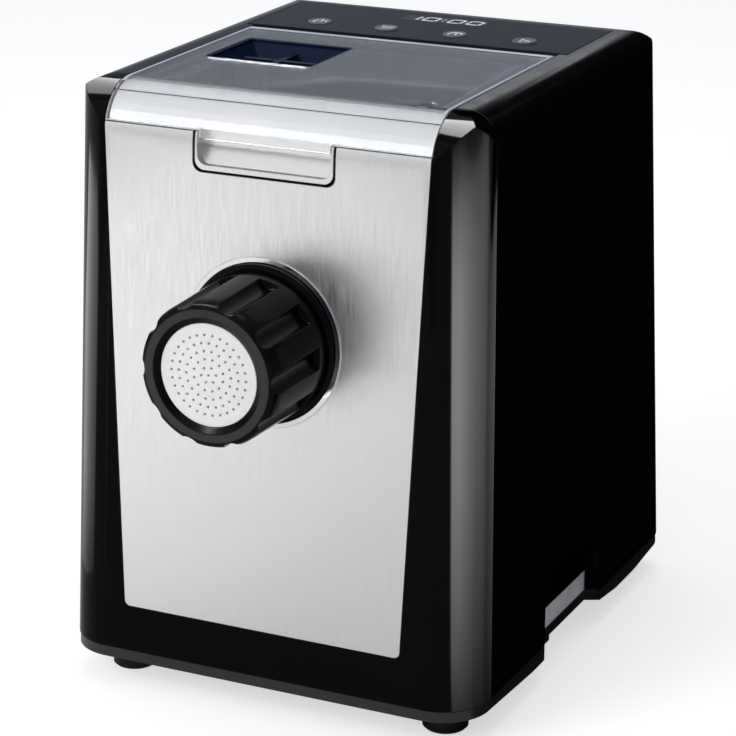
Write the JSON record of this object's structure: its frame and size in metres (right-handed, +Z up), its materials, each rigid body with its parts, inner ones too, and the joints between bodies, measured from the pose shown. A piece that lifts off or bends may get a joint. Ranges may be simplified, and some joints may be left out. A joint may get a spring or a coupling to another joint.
{
  "type": "electric pasta maker",
  "caption": "Free-standing electric pasta maker with a steel front, a clear hinged lid over a mixing chamber, and a ring nut that holds the pasta disc on its nozzle",
  "frame": {"origin": "centre of the footprint of the whole machine, nozzle included, on the surface it stands on", "axes": "+X to the right as seen from the front, +Y to the back, +Z up"},
  "size_m": [0.2282, 0.3226, 0.3106],
  "materials": {
    "gloss_black": "glossy moulded",
    "black_shell": "satin moulded",
    "steel_panel": "vertical brushing",
    "trim": "polished",
    "nut_black": "satin moulded",
    "disc_white": "moulded",
    "clear_lid": "clear smoky plastic",
    "funnel_navy": "moulded",
    "fascia": "satin",
    "window": "tinted",
    "button": "satin",
    "board": "board with parts",
    "base_dark": "moulded",
    "tray_grey": "moulded",
    "rubber": "matt",
    "screw_steel": "plated",
    "chamber": "moulded, tinted",
    "seal": "silicone",
    "food_white": "moulded",
    "gear_nylon": "moulded",
    "steel": "turned",
    "bronze": "sintered",
    "motor_steel": "plated can",
    "magnet": "ferrite",
    "copper": "wound and varnished",
    "plate": "pressed"
  },
  "bodies": {
    "body": {"housing": "black_shell", "front_bezel": "gloss_black", "front_panel": "steel_panel", "lip_strip": "steel_panel", "finger_scoop": "steel_panel", "nozzle_collar": "nut_black", "trim_ring": "trim", "base_pan": "base_dark", "inner_tray": "tray_grey", "base_screws": "screw_steel", "foot_front_left": "rubber", "foot_front_right": "rubber", "foot_rear_left": "rubber", "foot_rear_right": "rubber", "foot_screws": "screw_steel", "grip_liner_left": "nut_black", "grip_liner_right": "nut_black", "lid_sensor": "nut_black", "hinge_pins": "steel", "lid_seal": "rubber", "control_fascia": "fascia", "display_window": "window", "control_board": "board", "mixing_chamber": "chamber", "shaft_seal": "seal", "barrel_seal": "seal", "extrusion_barrel": "food_white", "gearbox_plate": "plate", "gearbox_cover": "base_dark", "gearbox_screws": "screw_steel", "output_bushings": "bronze", "idler_shaft": "steel", "motor_can": "motor_steel", "motor_bearings": "steel", "motor_magnets": "magnet", "motor_mounts": "rubber", "power_board": "board", "mains_inlet": "nut_black", "inlet_pins": "steel"},
    "lid": {"lid": "clear_lid", "filler_funnel": "funnel_navy", "lid_magnet": "magnet"},
    "disc": {"pasta_disc": "disc_white"},
    "nut": {"ring_nut": "nut_black"},
    "output": {"drive_shaft": "steel", "extruder_screw": "food_white", "kneading_paddle": "food_white", "output_gear": "gear_nylon"},
    "idler": {"idler_gear": "gear_nylon", "idler_pinion": "steel"},
    "motor": {"motor_pinion": "steel", "motor_shaft": "steel", "motor_armature": "copper", "motor_fan": "base_dark"},
    "button_power": {"button_power": "button"},
    "button_program": {"button_program": "button"},
    "button_timer": {"button_timer": "button"},
    "button_start": {"button_start": "button"}
  },
  "joints": [
    {"name": "lid_hinge", "type": "hinge", "parent": "body", "child": "lid", "pos_m": [0, 0.04955, 0.305], "axis": [-1, 0, 0], "range_deg": [0, 100]},
    {"name": "disc_slide", "type": "slide", "parent": "body", "child": "disc", "axis": [0, -1, 0], "range_m": [0, 0.0041]},
    {"name": "nut_turn", "type": "hinge", "parent": "disc", "child": "nut", "pos_m": [0, -0.13609, 0.193], "axis": [0, 1, 0], "range_deg": [0, 360]},
    {"name": "output_spin", "type": "hinge", "parent": "body", "child": "output", "pos_m": [0, 0.02225, 0.193], "axis": [0, 1, 0], "continuous": true},
    {"name": "idler_spin", "type": "hinge", "parent": "body", "child": "idler", "pos_m": [0, 0.02225, 0.1105], "axis": [0, 1, 0], "continuous": true},
    {"name": "motor_spin", "type": "hinge", "parent": "body", "child": "motor", "pos_m": [0, 0.02225, 0.0655], "axis": [0, 1, 0], "continuous": true},
    {"name": "button_power_press", "type": "slide", "parent": "body", "child": "button_power", "axis": [0, 0, -1], "range_m": [0, 0.0012], "stiffness_N_per_m": 300, "springref_m": -0.004},
    {"name": "button_program_press", "type": "slide", "parent": "body", "child": "button_program", "axis": [0, 0, -1], "range_m": [0, 0.0012], "stiffness_N_per_m": 300, "springref_m": -0.004},
    {"name": "button_timer_press", "type": "slide", "parent": "body", "child": "button_timer", "axis": [0, 0, -1], "range_m": [0, 0.0012], "stiffness_N_per_m": 300, "springref_m": -0.004},
    {"name": "button_start_press", "type": "slide", "parent": "body", "child": "button_start", "axis": [0, 0, -1], "range_m": [0, 0.0012], "stiffness_N_per_m": 300, "springref_m": -0.004}
  ],
  "couplings": [
    {"joint": "disc_slide", "follows": "nut_turn", "m_per_rad": 0.00063662},
    {"joint": "idler_spin", "follows": "output_spin", "ratio": -4.5},
    {"joint": "motor_spin", "follows": "output_spin", "ratio": 18}
  ]
}
